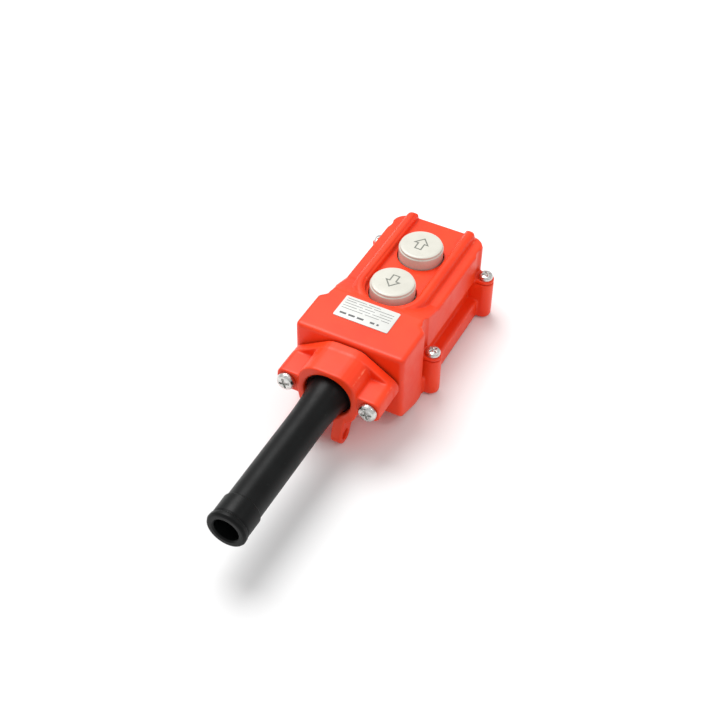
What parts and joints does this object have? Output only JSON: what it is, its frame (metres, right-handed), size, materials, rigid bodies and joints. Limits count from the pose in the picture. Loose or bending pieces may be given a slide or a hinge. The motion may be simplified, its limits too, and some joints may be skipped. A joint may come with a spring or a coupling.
{
  "type": "pendant control station",
  "caption": "Handheld hoist pendant: two guarded round push buttons with arrows in a red-orange screwed housing, bolted cable gland and long black rubber cable boot.",
  "frame": {"origin": "middle of the bounding box in X and Y, on the flat back plane", "axes": "+Z out of the button face, +Y along the station from the cable boot to the button end, X across"},
  "size_m": [0.0732, 0.23, 0.0494],
  "materials": {
    "housing_front": "satin moulded",
    "housing_rear": "satin moulded",
    "gland_plastic": "satin moulded",
    "button_plastic": "semi-gloss",
    "plunger_plastic": "satin",
    "switch_plastic": "matte",
    "boot_rubber": "soft sheen",
    "rubber_seal": "matte",
    "label": "semi-gloss film",
    "zinc_screw": "bright zinc",
    "brass": "machined",
    "spring_steel": "drawn wire"
  },
  "bodies": {
    "station": {"front_housing": "housing_front", "rear_cover": "housing_rear", "housing_gasket": "rubber_seal", "housing_screw_near_left": "zinc_screw", "housing_screw_near_right": "zinc_screw", "housing_screw_far_left": "zinc_screw", "housing_screw_far_right": "zinc_screw", "threaded_insert_near_left": "brass", "threaded_insert_near_right": "brass", "threaded_insert_far_left": "brass", "threaded_insert_far_right": "brass", "gland_body": "gland_plastic", "gland_gasket": "rubber_seal", "gland_screw_left": "zinc_screw", "gland_screw_right": "zinc_screw", "gland_insert_left": "brass", "gland_insert_right": "brass", "cable_boot": "boot_rubber", "label_plate": "label", "button_seal_down": "rubber_seal", "return_spring_down": "spring_steel", "contact_block_down": "switch_plastic", "fixed_terminal_down_left": "brass", "terminal_screw_down_left": "zinc_screw", "block_mount_screw_down_left": "zinc_screw", "fixed_terminal_down_right": "brass", "terminal_screw_down_right": "zinc_screw", "block_mount_screw_down_right": "zinc_screw", "button_seal_up": "rubber_seal", "return_spring_up": "spring_steel", "contact_block_up": "switch_plastic", "fixed_terminal_up_left": "brass", "terminal_screw_up_left": "zinc_screw", "block_mount_screw_up_left": "zinc_screw", "fixed_terminal_up_right": "brass", "terminal_screw_up_right": "zinc_screw", "block_mount_screw_up_right": "zinc_screw"},
    "button_down": {"button_cap_down": "button_plastic", "plunger_down": "plunger_plastic", "contact_bridge_down": "brass"},
    "button_up": {"button_cap_up": "button_plastic", "plunger_up": "plunger_plastic", "contact_bridge_up": "brass"}
  },
  "joints": [
    {"name": "press_down", "type": "slide", "parent": "station", "child": "button_down", "axis": [0, 0, -1], "range_m": [0, 0.004], "stiffness_N_per_m": 900, "springref_m": -0.004, "deforming": ["return_spring_down"]},
    {"name": "press_up", "type": "slide", "parent": "station", "child": "button_up", "axis": [0, 0, -1], "range_m": [0, 0.004], "stiffness_N_per_m": 900, "springref_m": -0.004, "deforming": ["return_spring_up"]}
  ]
}
